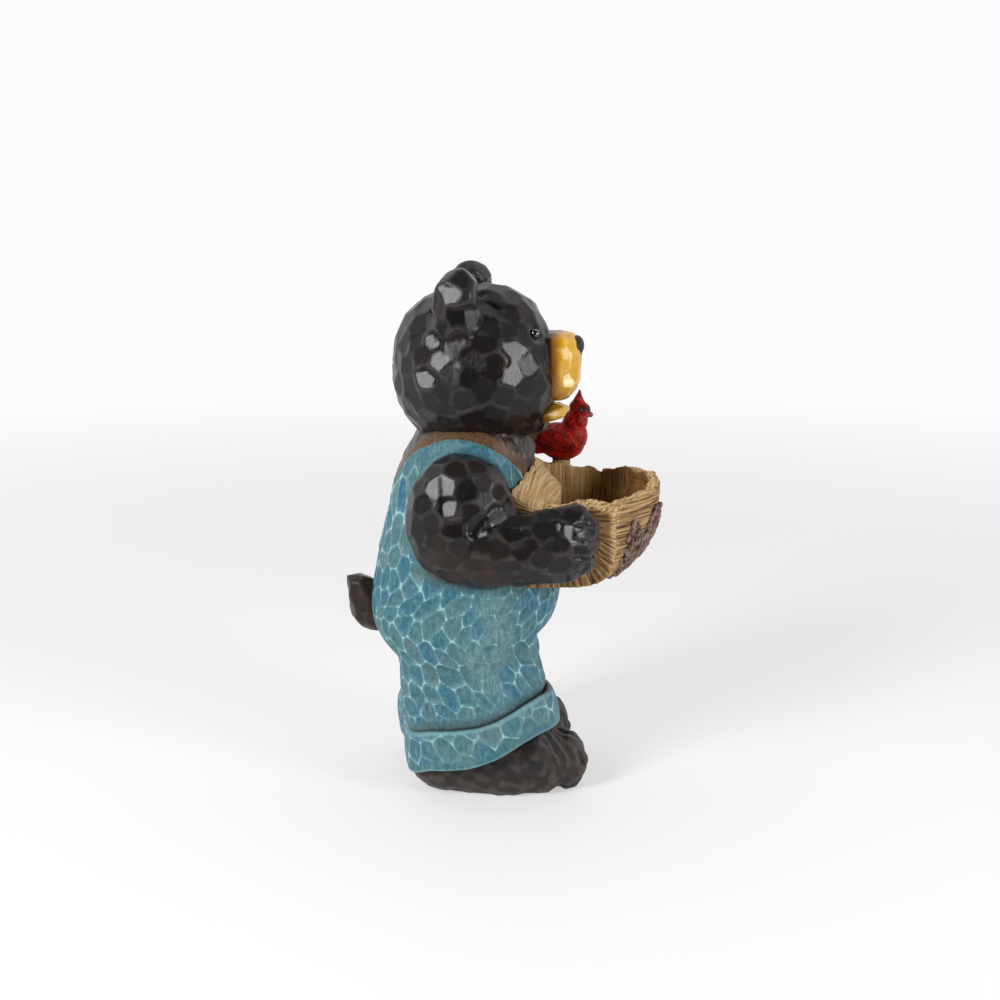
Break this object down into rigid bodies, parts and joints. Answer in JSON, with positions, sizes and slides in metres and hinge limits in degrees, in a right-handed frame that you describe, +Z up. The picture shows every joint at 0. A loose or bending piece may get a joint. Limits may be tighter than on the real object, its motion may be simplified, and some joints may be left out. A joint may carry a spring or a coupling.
{
  "type": "bear bird bath statue",
  "caption": "Standing garden bear in bib overalls, holding a hollowed log basin in both arms with a small red bird on its rim.",
  "frame": {"origin": "on the ground under the middle of the figure: the centre of the whole object's box, at its bottom", "axes": "+Z up; the bear faces -Y and its right side is towards -X"},
  "size_m": [0.2394, 0.307, 0.5007],
  "materials": {
    "painted_bear": "cast resin, painted black fur with a low sheen, teal blue overalls, ochre muzzle",
    "painted_log": "cast resin, painted golden brown as weathered wood with grey brown bark",
    "painted_bird": "cast resin, painted red with dark brown washes, satin"
  },
  "bodies": {
    "root": {"bear_figure": "painted_bear", "log_bowl": "painted_log", "cardinal": "painted_bird"}
  },
  "joints": []
}
